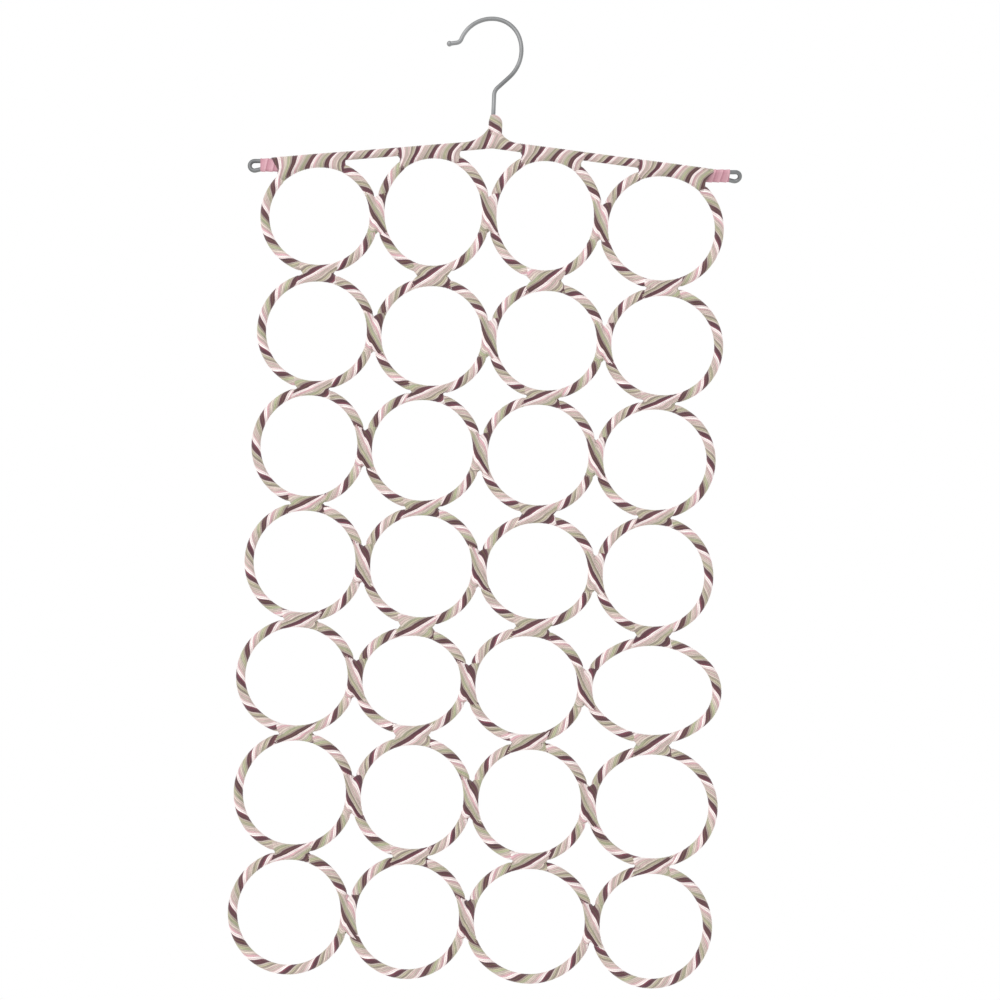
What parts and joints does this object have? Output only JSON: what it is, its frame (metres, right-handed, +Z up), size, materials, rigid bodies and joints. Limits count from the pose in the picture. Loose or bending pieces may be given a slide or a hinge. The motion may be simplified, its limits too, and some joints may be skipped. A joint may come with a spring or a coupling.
{
  "type": "scarf hanger",
  "caption": "Scarf hanger: a wire hook and bar carry a lattice of yarn-wound rings, bound together in rows that fold, and scarves are drawn through the rings.",
  "frame": {"origin": "the inside of the hook's crown, where it rests on a rail", "axes": "+X along the bar to the right as seen from the front, +Y to the back, +Z up; the rail runs along Y"},
  "size_m": [0.377, 0.0098, 0.7255],
  "materials": {
    "bright_wire": "bright plated wire",
    "hoop_plastic": "moulded",
    "wound_yarn": "soft yarn wound in many colours",
    "end_tape": "woven ribbon"
  },
  "bodies": {
    "frame": {"hook_wire": "bright_wire", "right_arm_wire": "bright_wire", "neck_wrap": "wound_yarn", "left_end_tape": "end_tape", "right_end_tape": "end_tape", "bar_bindings": "wound_yarn", "bar_wrap": "wound_yarn", "row_1_hoops": "hoop_plastic", "row_1_side_bindings": "wound_yarn", "ring_wrap_r1c1": "wound_yarn", "ring_wrap_r1c2": "wound_yarn", "ring_wrap_r1c3": "wound_yarn", "ring_wrap_r1c4": "wound_yarn", "row_1_to_2_bindings": "wound_yarn"},
    "row_2": {"row_2_hoops": "hoop_plastic", "row_2_side_bindings": "wound_yarn", "ring_wrap_r2c1": "wound_yarn", "ring_wrap_r2c2": "wound_yarn", "ring_wrap_r2c3": "wound_yarn", "ring_wrap_r2c4": "wound_yarn", "row_2_to_3_bindings": "wound_yarn"},
    "row_3": {"row_3_hoops": "hoop_plastic", "row_3_side_bindings": "wound_yarn", "ring_wrap_r3c1": "wound_yarn", "ring_wrap_r3c2": "wound_yarn", "ring_wrap_r3c3": "wound_yarn", "ring_wrap_r3c4": "wound_yarn", "row_3_to_4_bindings": "wound_yarn"},
    "row_4": {"row_4_hoops": "hoop_plastic", "row_4_side_bindings": "wound_yarn", "ring_wrap_r4c1": "wound_yarn", "ring_wrap_r4c2": "wound_yarn", "ring_wrap_r4c3": "wound_yarn", "ring_wrap_r4c4": "wound_yarn", "row_4_to_5_bindings": "wound_yarn"},
    "row_5": {"row_5_hoops": "hoop_plastic", "row_5_side_bindings": "wound_yarn", "ring_wrap_r5c1": "wound_yarn", "ring_wrap_r5c2": "wound_yarn", "ring_wrap_r5c3": "wound_yarn", "ring_wrap_r5c4": "wound_yarn", "row_5_to_6_bindings": "wound_yarn"},
    "row_6": {"row_6_hoops": "hoop_plastic", "row_6_side_bindings": "wound_yarn", "ring_wrap_r6c1": "wound_yarn", "ring_wrap_r6c2": "wound_yarn", "ring_wrap_r6c3": "wound_yarn", "ring_wrap_r6c4": "wound_yarn", "row_6_to_7_bindings": "wound_yarn"},
    "row_7": {"row_7_hoops": "hoop_plastic", "row_7_side_bindings": "wound_yarn", "ring_wrap_r7c1": "wound_yarn", "ring_wrap_r7c2": "wound_yarn", "ring_wrap_r7c3": "wound_yarn", "ring_wrap_r7c4": "wound_yarn"}
  },
  "joints": [
    {"name": "row_2_fold", "type": "hinge", "parent": "frame", "child": "row_2", "pos_m": [0, -0.00385, -0.2016], "axis": [-1, 0, 0], "range_deg": [0, 175], "deforming": ["row_1_to_2_bindings"]},
    {"name": "row_3_fold", "type": "hinge", "parent": "row_2", "child": "row_3", "pos_m": [0, 0.00385, -0.2894], "axis": [1, 0, 0], "range_deg": [0, 175], "deforming": ["row_2_to_3_bindings"]},
    {"name": "row_4_fold", "type": "hinge", "parent": "row_3", "child": "row_4", "pos_m": [0, -0.00385, -0.3764], "axis": [-1, 0, 0], "range_deg": [0, 175], "deforming": ["row_3_to_4_bindings"]},
    {"name": "row_5_fold", "type": "hinge", "parent": "row_4", "child": "row_5", "pos_m": [0, 0.00385, -0.4634], "axis": [1, 0, 0], "range_deg": [0, 175], "deforming": ["row_4_to_5_bindings"]},
    {"name": "row_6_fold", "type": "hinge", "parent": "row_5", "child": "row_6", "pos_m": [0, -0.00385, -0.547], "axis": [-1, 0, 0], "range_deg": [0, 175], "deforming": ["row_5_to_6_bindings"]},
    {"name": "row_7_fold", "type": "hinge", "parent": "row_6", "child": "row_7", "pos_m": [0, 0.00385, -0.634], "axis": [1, 0, 0], "range_deg": [0, 175], "deforming": ["row_6_to_7_bindings"]}
  ]
}
